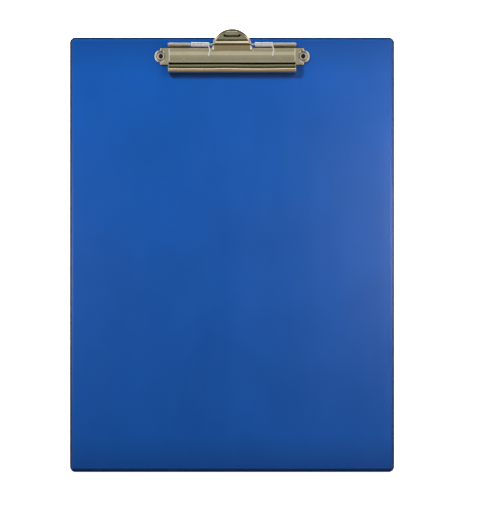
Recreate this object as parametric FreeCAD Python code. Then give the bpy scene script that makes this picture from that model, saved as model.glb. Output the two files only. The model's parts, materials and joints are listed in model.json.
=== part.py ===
import FreeCAD, Part
import math
import os

# A4 clipboard: a greyboard core welded into two PVC films, with a sprung steel clip
# riveted to its top edge by two hollow eyelets.
# The frame: X across the board, +Y towards the clip, +Z out of the writing face.
# The origin is the centre of the board's flat back. All lengths are in millimetres.

# Board
board_width = 235.0
board_length = 315.0
board_corner_r = 4.0
film = 0.4
core_thickness = 2.0
rim_to_core = 2.6
film_crown_r = 0.8
film_foot_r = 0.65
film_slope = math.radians(55.0)

# Sheet metal, hinge and wire
sheet = 0.6
rod_r = 0.8
rod_head_height = 0.4
running_gap = 0.05
hinge_in_from_edge = 5.5
hinge_above_board = 6.4
knuckle_gap = 0.5
sunk_share = 0.15
ball_cap_shares = (0, 1 / 4, 1)

# Base plate of the clip
clip_in_from_edge = 13.75
eyelet_spacing = 103.0
tray_past_eyelet = 0.7
tray_width = 12.9
tray_height = 1.2
tray_corner_r = 1.3
tray_edge_r = 0.8
lobe_r = 4.9
recess_r = 3.3
lug_in_from_eyelet = 5.5
lug_width = 7.8
lug_bend_r = 0.9
lug_curl = math.radians(250.0)

# Eyelets
bore_r = 1.6
eyelet_wall = 0.25
eyelet_flange_r = 2.85
eyelet_flange_height = 0.55
eyelet_roll_r = 0.42
eyelet_back_edge = 0.16
eyelet_hole_gap = 0.05
back_flange_r = 2.9
back_pocket_gap = 0.2
rolled_shares = (0, 1 / 2, 1)

# Jaw
jaw_past_lug = 0.1
nose_past_jaw = 0.2
side_flange_depth = 1.2
side_flange_r = 0.6
lip_front_y_in = 25.8
lip_gap = 0.1
nose_bend_in = 18.0
crease_r = 2.0
crease_turn = math.radians(10.0)
roll_r = 2.2
roll_end = math.radians(190.0)
end_notch = 0.5
knuckle_width = 7.7
knuckle_side_gap = 0.2
knuckle_foot_r = 0.6
knuckle_curl = math.radians(305.0)
pip_in_from_end = 11.2
pip_from_bend = 1.3
pip_r = 0.5
pip_height = 0.25

# Thumb tab
tab_r = 14.7
tab_foot_in = 8.5
tab_start_in = 9.6
tab_slot = 0.6
tab_slot_end_r = 0.45
tab_rod_gap = 0.3
neck_bend_r = 2.0
neck_past_rod = 0.5
riser_bend_r = 1.8
riser_turn = math.radians(40.0)
riser_run = 1.3
pad_bend_r = 2.0
pad_turn = math.radians(-50.0)
tab_rim_height = 0.9
dish_half_width = 6.2
dish_half_height = 1.9
dish_depth = 0.2
dish_from_crown = 3.8

# Springs
wire = 1.0
wire_sides = 5
coil_r = 1.45
coil_pitch = 2.4
coil_to_tab = 2.3
coil_to_knuckle = 1.0
leg_seat_gap = 0.05
plate_leg_reach = 7.4
leg_hook_r = 0.95
leg_tip = 0.85
leg_hole_gap = 0.3
base_leg_gap = 0.1
base_leg_rise = 0.7
spring_clearance = 0.35

# One overrun lets every cutting solid pass its faces.
overrun = 2.0

board_thickness = core_thickness + 2 * film
top_y = board_length / 2
hinge_y = top_y - hinge_in_from_edge
hinge_z = board_thickness + hinge_above_board
clip_y = top_y - clip_in_from_edge
eyelet_x = eyelet_spacing / 2
tray_half_x = eyelet_x + tray_past_eyelet
lug_outer_x = eyelet_x - lug_in_from_eyelet
jaw_half_x = lug_outer_x + jaw_past_lug
nose_half_x = jaw_half_x + nose_past_jaw
knuckle_outer_x = lug_outer_x - lug_width - knuckle_side_gap
knuckle_inner_x = knuckle_outer_x - knuckle_width
pip_x = jaw_half_x - pip_in_from_end
coil_inner_x = tab_r + coil_to_tab
coil_outer_x = knuckle_inner_x - coil_to_knuckle
coil_length = coil_outer_x - coil_inner_x
whole_turns = max(1, int(coil_length / coil_pitch))
tube_r = bore_r + eyelet_wall
hole_r = tube_r + eyelet_hole_gap
knuckle_inner_r = rod_r + running_gap
knuckle_r = knuckle_inner_r + sheet / 2
knuckle_outer_r = knuckle_inner_r + sheet
plate_top = hinge_z + sheet / 2
nose_bend_y = top_y - nose_bend_in
spring_edge_y = hinge_y - coil_r - wire / 2 - spring_clearance
tab_start_y = top_y - tab_start_in
tab_foot_y = top_y - tab_foot_in


def vec(x, y, z):
    return FreeCAD.Vector(x, y, z)


def box(x0, x1, y0, y1, z0, z1):
    return Part.makeBox(x1 - x0, y1 - y0, z1 - z0, vec(x0, y0, z0))


def upright(radius, x, y, z0, z1):
    return Part.makeCylinder(radius, z1 - z0, vec(x, y, z0))


def both_sides(shape):
    """The shape and its mirror image across the plane x = 0."""
    return [shape, shape.mirror(vec(0, 0, 0), vec(1, 0, 0))]


def one_solid(shape):
    """The clean single solid of a fused or cut shape."""
    clean = shape.removeSplitter()
    return clean.Solids[0] if len(clean.Solids) == 1 else clean


def rounded_rectangle(width, length, corner_r, z):
    """A closed wire that starts at the middle of the +X side and runs round through +Y."""
    x, y = width / 2, length / 2
    c = corner_r * (1 - math.sqrt(1 / 2))
    edges = []
    for sx, sy in ((1, 1), (-1, 1), (-1, -1), (1, -1)):
        on_x = vec(sx * x, sy * (y - corner_r), z)
        on_y = vec(sx * (x - corner_r), sy * y, z)
        middle = vec(sx * (x - c), sy * (y - c), z)
        first, last = (on_x, on_y) if sx == sy else (on_y, on_x)
        edges.append((first, Part.Arc(first, middle, last).toShape(), last))
    start = vec(x, 0, z)
    ordered, at = [], start
    for first, arc, last in edges:
        ordered += [Part.makeLine(at, first), arc]
        at = last
    ordered.append(Part.makeLine(at, start))
    return Part.Wire(ordered)


def bent_sheet(start, heading, moves, left, right, place, chords=False):
    """The face of a sheet's bent section.

    A point walks from start; each move is ("run", length) or ("bend", radius, turn), a turn to
    the left being positive. The section reaches left and right of that walk by the two given
    offsets. place turns the section's two coordinates into a point in space. With chords, a
    bend is one straight line between the arc's own ends.
    """
    u, v = start
    sides = ([], [])

    def beside(u0, v0, angle, offset):
        return place(u0 - offset * math.sin(angle), v0 + offset * math.cos(angle))

    for move in moves:
        if move[0] == "run":
            u1 = u + move[1] * math.cos(heading)
            v1 = v + move[1] * math.sin(heading)
            for edges, offset in zip(sides, (left, -right)):
                near = beside(u, v, heading, offset)
                edges.append(Part.makeLine(near, beside(u1, v1, heading, offset)))
            u, v = u1, v1
            continue
        radius, turn = move[1], move[2]
        hand = math.copysign(1, turn)
        cu = u - hand * radius * math.sin(heading)
        cv = v + hand * radius * math.cos(heading)
        for edges, offset in zip(sides, (left, -right)):
            reach = radius - hand * offset
            points = []
            for share in (0, 1 / 2, 1):
                a = heading + share * turn
                points.append(place(cu + hand * reach * math.sin(a), cv - hand * reach * math.cos(a)))
            if chords:
                edges.append(Part.makeLine(points[0], points[2]))
            else:
                edges.append(Part.Arc(*points).toShape())
        heading += turn
        u = cu + hand * radius * math.sin(heading)
        v = cv - hand * radius * math.cos(heading)
    ends = []
    for index in (0, -1):
        first = sides[0][index].Vertexes[index].Point
        last = sides[1][index].Vertexes[index].Point
        ends.append(Part.makeLine(first, last))
    return Part.Face(Part.Wire(Part.__sortEdges__(sides[0] + sides[1] + ends)))


def across(x0, x1, start, heading, moves, left=sheet / 2, right=sheet / 2):
    """A bent sheet whose section lies in the Y-Z plane, carried from x0 to x1."""
    face = bent_sheet(start, heading, moves, left, right, lambda u, v: vec(x0, u, v))
    return face.extrude(vec(x1 - x0, 0, 0))


def front_film():
    """The upper PVC film: flat over the core, down over its edge, and out as the welded rim."""
    half_t = film / 2
    rise = core_thickness / 2
    bends = (film_crown_r + film_foot_r) * (1 - math.cos(film_slope))
    slope_run = (rise - bends) / math.sin(film_slope)
    inward = (film_crown_r + film_foot_r) * math.sin(film_slope) + slope_run * math.cos(film_slope)
    ring = rim_to_core + (board_corner_r - rim_to_core) / 2
    moves = [
        ("run", rim_to_core - inward),
        ("bend", film_foot_r, film_slope),
        ("run", slope_run),
        ("bend", film_crown_r, -film_slope),
        ("run", ring - rim_to_core),
    ]
    edge_x = board_width / 2
    start = (0, board_thickness / 2 + half_t)
    section = bent_sheet(start, 0, moves, half_t, half_t, lambda u, v: vec(edge_x - u, 0, v), True)
    path = rounded_rectangle(board_width, board_length, board_corner_r, 0)
    border = path.makePipeShell([section.OuterWire], True, False)
    inner = rounded_rectangle(
        board_width - 2 * ring, board_length - 2 * ring, board_corner_r - ring, board_thickness - film
    )
    middle = Part.Face(inner).extrude(vec(0, 0, film))
    return one_solid(border.fuse(middle))


def eyelet_holes(shape, radius):
    for x in (-eyelet_x, eyelet_x):
        shape = shape.cut(upright(radius, x, clip_y, -overrun, board_thickness + overrun))
    return shape


def core_board():
    outline = rounded_rectangle(
        board_width - 2 * rim_to_core, board_length - 2 * rim_to_core, board_corner_r - rim_to_core, film
    )
    return eyelet_holes(Part.Face(outline).extrude(vec(0, 0, core_thickness)), hole_r)


def revolved(outline, x, y):
    """The solid whose outline of (radius, height) points is turned round an upright axis."""
    points = [vec(x + r, y, z) for r, z in outline]
    face = Part.Face(Part.makePolygon(points + points[:1]))
    return face.revolve(vec(x, y, 0), vec(0, 0, 1), 360)


def rolled_edge(r, z, radius, first):
    """Points of a quarter circle round (r, z), clockwise from the given quarter turn."""
    turns = [(first - share) * math.pi / 2 for share in rolled_shares]
    return [(r + radius * math.cos(a), z + radius * math.sin(a)) for a in turns]


def clip_base():
    """The lower pressing: a shallow upturned tray, round ends for the eyelets, two hinge lugs."""
    top = board_thickness + tray_height
    outline = rounded_rectangle(2 * tray_half_x, tray_width, tray_corner_r, board_thickness)
    outline.translate(vec(0, clip_y, 0))
    tray = Part.Face(outline).extrude(vec(0, 0, tray_height))
    tray = tray.makeFillet(tray_edge_r, [e for e in tray.Edges if e.BoundBox.ZMin > top - tray_edge_r / 2])
    lobe = [(0, board_thickness), (0, top)]
    lobe += rolled_edge(lobe_r - tray_edge_r, top - tray_edge_r, tray_edge_r, 1)
    lobe.append((lobe_r, board_thickness))
    tray = tray.fuse([revolved(lobe, x, clip_y) for x in (-eyelet_x, eyelet_x)])
    half_y = tray_width / 2 - sheet
    pocket = box(
        sheet - tray_half_x, tray_half_x - sheet, clip_y - half_y, clip_y + half_y,
        board_thickness - overrun, top - sheet,
    )
    for x in (-eyelet_x, eyelet_x):
        pocket = pocket.cut(upright(recess_r + sheet, x, clip_y, board_thickness - overrun, top))
    tray = tray.cut(pocket)
    for x in (-eyelet_x, eyelet_x):
        tray = tray.cut(upright(recess_r, x, clip_y, board_thickness + sheet, top + overrun))
        tray = tray.cut(upright(hole_r, x, clip_y, board_thickness - overrun, top))
    web_z = top - sheet / 2
    start_y = clip_y + half_y
    wall_y = hinge_y + knuckle_r
    moves = [
        ("run", wall_y - lug_bend_r - start_y),
        ("bend", lug_bend_r, math.pi / 2),
        ("run", hinge_z - web_z - lug_bend_r),
        ("bend", knuckle_r, lug_curl),
    ]
    lug = across(lug_outer_x - lug_width, lug_outer_x, (start_y, web_z), 0, moves)
    return one_solid(tray.fuse(both_sides(lug)))


def nose_moves():
    """The jaw's front: a crease, one long gentle arc, and a rolled lip that meets the board.

    The long arc is the one circle that leaves the crease and reaches the roll with no corner.
    """
    reach = roll_r + sheet / 2
    roll_y = top_y - lip_front_y_in + reach
    roll_z = board_thickness + lip_gap + reach
    crease_y = nose_bend_y - crease_r * math.sin(crease_turn)
    crease_z = hinge_z - crease_r * (1 - math.cos(crease_turn))
    dy = roll_y - crease_y - roll_r * math.sin(crease_turn)
    dz = roll_z - crease_z + roll_r * math.cos(crease_turn)
    middle = math.atan2(-dz, -dy)
    sweep = 2 * (middle - crease_turn)
    long_r = roll_r + math.hypot(dy, dz) / (2 * math.sin(sweep / 2))
    return [
        ("run", end_notch / 2),
        ("bend", crease_r, crease_turn),
        ("bend", long_r, sweep),
        ("bend", roll_r, roll_end - crease_turn - sweep),
    ]


def neck_angle():
    """The slope at which the tab's neck clears the rod by the named gap."""
    keep = rod_r + tab_rod_gap + sheet / 2
    along = hinge_y - tab_start_y
    size = math.hypot(along, neck_bend_r)
    return math.asin((neck_bend_r + keep) / size) - math.atan2(neck_bend_r, along)


def tab_moves():
    """The tab's section from the plate: neck over the rod, riser, and thumb pad."""
    slope = neck_angle()
    keep = rod_r + tab_rod_gap + sheet / 2
    along = hinge_y - tab_start_y
    neck_run = along * math.cos(slope) - neck_bend_r * math.sin(slope) + neck_past_rod
    pad_run = tab_foot_y + tab_r - hinge_y - keep + overrun
    return [
        ("run", tab_start_y - tab_root_y()),
        ("bend", neck_bend_r, slope),
        ("run", neck_run),
        ("bend", riser_bend_r, riser_turn),
        ("run", riser_run),
        ("bend", pad_bend_r, pad_turn),
        ("run", pad_run),
    ]


def tab_root_y():
    return tab_start_y - neck_bend_r


def walked(start, heading, moves):
    """Where a walk of moves ends, and its heading there."""
    u, v = start
    for move in moves:
        if move[0] == "run":
            u += move[1] * math.cos(heading)
            v += move[1] * math.sin(heading)
            continue
        hand = math.copysign(1, move[2])
        u -= hand * move[1] * (math.sin(heading) - math.sin(heading + move[2]))
        v += hand * move[1] * (math.cos(heading) - math.cos(heading + move[2]))
        heading += move[2]
    return u, v, heading


def ball_cap(radius, pole, inward, height):
    """A ball's cap with faceted sides: from its pole on the surface, inward to a height."""
    side = inward.cross(vec(inward.z, 0, inward.y - inward.x)).normalize()
    points = []
    for share in ball_cap_shares:
        h = share * height
        points.append(pole + inward * h + side * math.sqrt(h * (2 * radius - h)))
    points += [pole + inward * height, points[0]]
    return Part.Face(Part.makePolygon(points)).revolve(pole, inward, 360)


def long_dish(radius, pole, inward, height, half_length):
    """A ball's cap drawn out both ways along X: a trough whose ends are halves of the cap."""
    across_it = inward.cross(vec(1, 0, 0))
    section = []
    for share in ball_cap_shares:
        h = share * height
        half_width = math.sqrt(h * (2 * radius - h))
        section.append(pole + inward * h + across_it * half_width)
        if share:
            section.insert(0, pole + inward * h - across_it * half_width)
    trough = Part.Face(Part.makePolygon(section + section[:1]))
    trough.translate(vec(-half_length, 0, 0))
    trough = trough.extrude(vec(2 * half_length, 0, 0))
    for x in (-half_length, half_length):
        trough = trough.fuse(ball_cap(radius, pole + vec(x, 0, 0), inward, height))
    return trough


def d_outline(radius, y_start):
    """The upright prism of the tab's D: straight sides to its centre, then a half circle."""
    top = hinge_z + 2 * tab_r
    rounded = upright(radius, 0, tab_foot_y, 0, top)
    behind = box(-radius, radius, tab_foot_y - 2 * tab_r, y_start, 0, top)
    straight = box(-radius, radius, y_start, tab_foot_y, 0, top)
    return rounded.cut(behind).fuse(straight)


def thumb_tab():
    """The D-shaped tab with its upturned rim and its dished pad."""
    root = (tab_root_y(), hinge_z)
    moves = tab_moves()
    rim_top = sheet / 2 + tab_rim_height
    band = across(-tab_r, tab_r, root, 0, moves, left=rim_top).common(d_outline(tab_r, tab_root_y()))
    above = across(
        -tab_r - overrun, tab_r + overrun, root, 0, moves, left=rim_top + sheet / 2, right=-sheet / 2
    )
    inside = d_outline(tab_r - sheet, tab_root_y() - overrun)
    before = box(
        -tab_r - overrun, tab_r + overrun, tab_root_y() - overrun, tab_start_y + tab_slot,
        0, hinge_z + tab_r,
    )
    web = band.cut(above.common(inside.fuse(before)))
    u, v, slope = walked(root, 0, moves)
    back = (u - (tab_foot_y + tab_r - dish_from_crown)) / math.cos(slope)
    normal = vec(0, -math.sin(slope), math.cos(slope))
    middle = vec(0, u - back * math.cos(slope), v - back * math.sin(slope)) + normal * (sheet / 2)
    ball_r = (dish_half_height ** 2 + dish_depth ** 2) / (2 * dish_depth)
    half_length = dish_half_width - dish_half_height
    low = middle - normal * dish_depth
    cap_height = dish_depth + sheet * sunk_share
    cup = long_dish(ball_r + sheet, low - normal * sheet, normal, cap_height, half_length)
    bowl = long_dish(ball_r, low, normal, cap_height, half_length)
    return web.fuse(cup).cut(bowl)


def knuckle_moves():
    """From the plate a small upward foot, then the curl over the rod and under it."""
    foot_turn = math.acos(knuckle_foot_r / (knuckle_foot_r + knuckle_r))
    return [("bend", knuckle_foot_r, foot_turn), ("bend", knuckle_r, -knuckle_curl)]


def clip_jaw():
    """The upper pressing: plate, rolled nose, side flanges, hinge knuckles and thumb tab."""
    low = hinge_z - sheet / 2
    flat_half = jaw_half_x - sheet / 2 - side_flange_r
    plate = box(-flat_half, flat_half, nose_bend_y, spring_edge_y, low, plate_top)
    window = tab_r + tab_slot
    plate = plate.cut(box(-window, window, tab_start_y, spring_edge_y + overrun, low, plate_top))
    for x in (-window + tab_slot / 2, window - tab_slot / 2):
        plate = plate.cut(upright(tab_slot_end_r, x, tab_start_y, low - overrun, plate_top + overrun))
    for x in (-coil_inner_x, coil_outer_x):
        hole = upright(wire / 2 + leg_hole_gap, x, hook_y(), low - overrun, plate_top + overrun)
        plate = plate.cut(hole)
    start = (nose_bend_y + end_notch / 2, hinge_z)
    nose = across(-nose_half_x, nose_half_x, start, math.pi, nose_moves())
    notch = box(
        flat_half, nose_half_x + overrun, nose_bend_y - end_notch / 2, nose_bend_y + end_notch,
        low - overrun, plate_top + overrun,
    )
    for cut in both_sides(notch):
        nose = nose.cut(cut)
    flange_run = side_flange_depth - side_flange_r - sheet / 2
    section = bent_sheet(
        (flat_half, hinge_z), 0, [("bend", side_flange_r, -math.pi / 2), ("run", flange_run)],
        sheet / 2, sheet / 2, lambda u, v: vec(u, nose_bend_y + end_notch, v),
    )
    flange = section.extrude(vec(0, spring_edge_y - nose_bend_y - end_notch, 0))
    foot_y = hinge_y - math.sqrt(knuckle_r * (knuckle_r + 2 * knuckle_foot_r))
    tongue = box(knuckle_inner_x, knuckle_outer_x, spring_edge_y - sheet, foot_y, low, plate_top)
    curl = across(knuckle_inner_x, knuckle_outer_x, (foot_y, hinge_z), 0, knuckle_moves())
    clear_y = hinge_y - knuckle_outer_r - knuckle_gap
    outer = box(knuckle_outer_x, flat_half, spring_edge_y - sheet, clear_y, low, plate_top)
    pieces = [nose, thumb_tab()]
    for piece in (flange, tongue, curl, outer):
        pieces += both_sides(piece)
    pip_y = nose_bend_y + pip_from_bend
    pieces += both_sides(upright(pip_r, pip_x, pip_y, plate_top, plate_top + pip_height))
    return one_solid(plate.fuse(pieces))


def hinge_rod():
    """The rod through all knuckles, with a low head peened on at each end."""
    seat = lug_outer_x + running_gap
    head_r = knuckle_inner_r + sheet / 2
    outline = [
        (-seat, rod_r), (-seat, head_r), (-seat - rod_head_height, head_r),
        (-seat - rod_head_height, 0), (seat + rod_head_height, 0),
        (seat + rod_head_height, head_r), (seat, head_r), (seat, rod_r),
    ]
    points = [vec(x, hinge_y, hinge_z + r) for x, r in outline]
    face = Part.Face(Part.makePolygon(points + points[:1]))
    return face.revolve(vec(0, hinge_y, hinge_z), vec(1, 0, 0), 360)


def eyelet(x):
    """A hollow rivet: rolled flange above, flat flange let into the back film."""
    seat = board_thickness + sheet
    top = seat + eyelet_flange_height
    outline = [(bore_r, 0)]
    outline += rolled_edge(bore_r + eyelet_roll_r, top - eyelet_roll_r, eyelet_roll_r, 2)
    outline += rolled_edge(eyelet_flange_r - eyelet_roll_r, top - eyelet_roll_r, eyelet_roll_r, 1)
    outline += [
        (eyelet_flange_r, seat),
        (tube_r, seat),
        (tube_r, film),
        (back_flange_r, film),
        (back_flange_r, eyelet_back_edge),
        (back_flange_r - eyelet_back_edge, 0),
    ]
    return revolved(outline, x, clip_y)


def tangent_angle(y, z, hand):
    """The angle round the coil at which a straight line to the point (y, z) leaves it."""
    dy, dz = y - hinge_y, z - hinge_z
    return math.atan2(dz, dy) + hand * math.acos(coil_r / math.hypot(dy, dz))


def hook_y():
    return hinge_y - plate_leg_reach - leg_hook_r


def coil_angles():
    """The coil's first and last angle: it starts at the base's leg and ends at the plate's."""
    base_y = clip_y + tray_width / 2 + base_leg_gap + wire / 2
    first = tangent_angle(base_y, board_thickness + base_leg_rise, 1)
    plate_z = plate_top + leg_seat_gap + wire / 2
    last = tangent_angle(hinge_y - plate_leg_reach, plate_z, -1)
    return first, last + 2 * math.pi * whole_turns


def helix(x_start, share):
    """The point and direction of the coil's centre line at a share of its length.

    At both ends the coil stops climbing, so that the legs stand square to the rod.
    """
    first, last = coil_angles()
    a = first + share * (last - first)
    climb = coil_length / (last - first) if 0 < share < 1 else 0
    point = vec(x_start + share * coil_length, 0, 0)
    point += vec(0, hinge_y + coil_r * math.cos(a), hinge_z + coil_r * math.sin(a))
    direction = vec(climb, -coil_r * math.sin(a), coil_r * math.cos(a))
    return point, direction.normalize()


def arc_from(point, direction, end):
    """The circular arc that leaves a point along a direction and reaches the end point."""
    chord = end - point
    half = direction.getAngle(chord)
    towards = (direction - chord * (direction.dot(chord) / chord.dot(chord))).normalize()
    middle = (point + end) / 2 + towards * (chord.Length / 2 * math.tan(half / 2))
    return Part.Arc(point, middle, end)


def biarc(p0, t0, p1, t1):
    """Two arcs, tangent where they meet, from p0 along t0 to p1 along t1."""
    v, t = p1 - p0, t0 + t1
    a, b, c = t.dot(t) - 4, -2 * v.dot(t), v.dot(v)
    d = (-b - math.sqrt(b * b - 4 * a * c)) / (2 * a)
    joint = ((p0 + t0 * d) + (p1 - t1 * d)) / 2
    heading = ((p1 - t1 * d) - (p0 + t0 * d)).normalize()
    return [arc_from(p0, t0, joint), arc_from(joint, heading, p1)]


def spring_path(x_start):
    """Base leg, coil and hooked plate leg as one chain of lines and arcs."""
    first, last = coil_angles()
    steps = max(1, round((last - first) / math.pi))
    stations = [helix(x_start, i / steps) for i in range(steps + 1)]
    start, direction = stations[0]
    base_y = clip_y + tray_width / 2 + base_leg_gap + wire / 2
    base_length = math.hypot(start.y - base_y, start.z - board_thickness - base_leg_rise)
    curves = [Part.LineSegment(start - direction * base_length, start)]
    for (p0, t0), (p1, t1) in zip(stations, stations[1:]):
        curves += biarc(p0, t0, p1, t1)
    end, direction = stations[-1]
    length = (end.y - hook_y() - leg_hook_r) / -direction.y
    turn_at = end + direction * length
    down = vec(0, 0, -1)
    tangent = leg_hook_r * math.tan(direction.getAngle(down) / 2)
    corner = turn_at + direction * tangent
    after = corner + down * tangent
    curves.append(Part.LineSegment(end, turn_at))
    curves.append(arc_from(turn_at, direction, after))
    curves.append(Part.LineSegment(after, after + down * leg_tip))
    return curves


def least_gap(curves):
    """The smallest free distance between stretches of the wire that lie a half turn apart."""
    points, run = [], 0
    for curve in curves:
        length = curve.length()
        count = max(2, round(length / (wire / 2)))
        for i in range(count):
            share = i / count
            at = curve.value(curve.FirstParameter + share * (curve.LastParameter - curve.FirstParameter))
            points.append((run + share * length, at))
        run += length
    apart = math.pi * coil_r
    gaps = [p.distanceToPoint(q) for s, p in points for r, q in points if r - s > apart]
    return min(gaps) - wire


def spring(x_start):
    """One torsion spring: a tube with faceted sides, as thick as the wire, along its path."""
    curves = spring_path(x_start)
    print("spring from x = %.1f: least gap to itself %.3f mm" % (x_start, least_gap(curves)))
    path = Part.Wire([curve.toShape() for curve in curves])
    start = curves[0].StartPoint
    along = curves[0].EndPoint - start
    spoke = along.cross(vec(1, 0, 0)).normalize() * (wire / 2)
    corners = []
    for i in range(wire_sides + 1):
        corners.append(start + FreeCAD.Rotation(along, 360 * i / wire_sides).multVec(spoke))
    return path.makePipeShell([Part.makePolygon(corners)], True, False)


def build():
    upper = front_film()
    lower = upper.mirror(vec(0, 0, board_thickness / 2), vec(0, 0, 1))
    nodes = {
        "back_film": eyelet_holes(lower, back_flange_r + back_pocket_gap),
        "core_board": core_board(),
        "front_film": eyelet_holes(upper, hole_r),
        "clip_base": clip_base(),
        "hinge_rod": hinge_rod(),
        "clip_jaw": clip_jaw(),
        "spring_left": spring(-coil_outer_x),
        "spring_right": spring(coil_inner_x),
        "eyelet_left": eyelet(-eyelet_x),
        "eyelet_right": eyelet(eyelet_x),
    }
    os.makedirs("parts", exist_ok=True)
    for name, shape in nodes.items():
        if not shape.isValid():
            raise ValueError(name + " is not a valid solid")
        shape.exportStep("parts/" + name + ".step")
        print("%-14s solids %d  volume %.2f mm3" % (name, len(shape.Solids), shape.Volume))


build()
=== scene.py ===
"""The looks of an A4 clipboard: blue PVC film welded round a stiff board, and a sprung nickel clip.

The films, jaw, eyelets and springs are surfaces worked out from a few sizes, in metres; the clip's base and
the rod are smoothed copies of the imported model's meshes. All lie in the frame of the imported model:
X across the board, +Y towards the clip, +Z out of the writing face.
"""

import json
import math

import bmesh
import bpy
import numpy as np
from bpy.props import FloatProperty, FloatVectorProperty, IntProperty, PointerProperty
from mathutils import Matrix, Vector


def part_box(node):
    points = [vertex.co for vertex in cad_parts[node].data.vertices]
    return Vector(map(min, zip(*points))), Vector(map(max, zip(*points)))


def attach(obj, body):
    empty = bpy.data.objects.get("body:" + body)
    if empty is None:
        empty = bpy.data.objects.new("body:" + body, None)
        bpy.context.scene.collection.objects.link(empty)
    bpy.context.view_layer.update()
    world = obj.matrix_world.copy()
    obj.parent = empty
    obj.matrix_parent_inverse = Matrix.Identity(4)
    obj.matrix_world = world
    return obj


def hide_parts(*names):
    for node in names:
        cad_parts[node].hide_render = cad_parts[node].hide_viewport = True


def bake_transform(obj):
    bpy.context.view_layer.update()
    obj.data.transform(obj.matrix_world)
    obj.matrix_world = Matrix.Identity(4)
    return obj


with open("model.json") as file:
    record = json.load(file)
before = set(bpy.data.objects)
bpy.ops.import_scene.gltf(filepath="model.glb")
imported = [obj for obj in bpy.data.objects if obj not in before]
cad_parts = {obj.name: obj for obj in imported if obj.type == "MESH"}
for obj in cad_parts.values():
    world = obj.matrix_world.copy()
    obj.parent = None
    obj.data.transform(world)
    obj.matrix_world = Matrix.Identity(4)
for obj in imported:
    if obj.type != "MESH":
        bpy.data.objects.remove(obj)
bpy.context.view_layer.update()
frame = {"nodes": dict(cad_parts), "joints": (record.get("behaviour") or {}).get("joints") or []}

bl_info = {
    "name": "Clipboard with a sprung clip",
    "version": (1, 0, 0),
    "blender": (4, 5, 0),
    "location": "View3D > Sidebar > Clipboard",
    "description": "Builds the film, clip, springs and studio of an A4 clipboard",
    "category": "Object",
}

MM = 0.001
HINGE = Vector(frame["joints"][0]["pos_m"])
BOARD_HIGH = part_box("front_film")[1]
BOARD_TOP = BOARD_HIGH.z
JAW_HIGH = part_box("clip_jaw")[1]
SPRING_LOW, SPRING_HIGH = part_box("spring_right")
EYELET_LOW, EYELET_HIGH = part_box("eyelet_right")
EYELET_X = (EYELET_LOW.x + EYELET_HIGH.x) / 2
CLIP_Y = (EYELET_LOW.y + EYELET_HIGH.y) / 2

# How finely curves and sheets are divided, and how near two places count as one
BEND_STEP = math.radians(6.0)
TAB_STEP = math.radians(2.5)
GRID_STEP = 0.7 * MM
RING_STEP = 0.22 * MM
CORNER_STEPS = 12
HOLE_POINTS = 48
EYELET_POINTS = 72
TURN_POINTS = 36
DOME_RINGS = 3
NEAR = 0.001 * MM

# The photo's frame and the board's edges in it, in pixels
PHOTO_SIZE = (480, 509)
BOARD_LEFT_PX, BOARD_RIGHT_PX = 69.9, 394.2
BOARD_TOP_PX, BOARD_LOW_PX = 37.3, 472.1


def length(name, description, default_mm):
    return FloatProperty(
        name=name, description=description, default=default_mm * MM, unit="LENGTH", precision=5
    )


def colour(name, description, default):
    return FloatVectorProperty(name=name, description=description, default=default, subtype="COLOR", size=3)


def angle(name, description, default_degrees):
    return FloatProperty(
        name=name, description=description, default=math.radians(default_degrees), subtype="ANGLE"
    )


class FilmSettings(bpy.types.PropertyGroup):
    """Sizes and colours of the two PVC films."""

    corner: length("Corner radius", "Outer corner of the board", 4.0)
    thickness: length("Film", "Thickness of one film", 0.4)
    rim_to_core: length("Rim to core", "From the board's edge to the core's edge", 2.6)
    crown: length("Crown radius", "Bend where the film leaves the flat face", 0.8)
    foot: length("Foot radius", "Bend where the film meets the rim", 0.65)
    slope: angle("Slope", "Steepness of the film between face and rim", 45.0)
    least_corner: length("Least corner", "Corner radius deep inside the face", 1.2)
    soft_reach: length("Soft reach", "How far in from the core's edge the face starts to fall", 6.5)
    soft_drop: length("Soft drop", "How much the face falls over that reach", 0.1)
    edge_round: length("Edge round", "Rounding of the cut outer edge", 0.12)
    tube_hole: length("Tube hole", "Radius of the hole for an eyelet's tube", 1.9)
    flange_hole: length("Flange hole", "Radius of the pocket for an eyelet's back flange", 3.1)
    blue: colour("Blue", "Colour of the film", (0.0013, 0.0445, 0.202))
    # Painted shade: the end colour draws the film darker towards the board's two ends, where less light
    # falls, over the end reach.
    end: colour("End", "Colour of the film at the board's two ends", (0.0008, 0.032, 0.146))
    end_shade_reach: length("End reach", "How far in from an end the film is deeper in colour", 27.0)
    # The weld colour is partly the welded rim's own darker tone and partly painted shade carried up over the
    # slope beside it, to dim the light on that slope.
    weld: colour("Weld", "Colour of the welded rim and the slope beside it", (0.001, 0.026, 0.118))
    weld_shade_level: length("Weld level", "How far below the face that colour starts", 0.16)
    weld_shade_fade: length("Weld fade", "Height over which that colour comes in", 0.48)
    # The outermost line is partly the pressed cut edge and partly painted shade along the board's edge, drawn
    # near black.
    cut: colour("Cut edge", "Colour of the cut and pressed outermost line", (0.0004, 0.004, 0.02))
    cut_width: length("Cut width", "Width of that line, its soft side included", 1.05)
    cut_fade: length("Cut fade", "Width of the line's soft side", 0.3)


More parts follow.
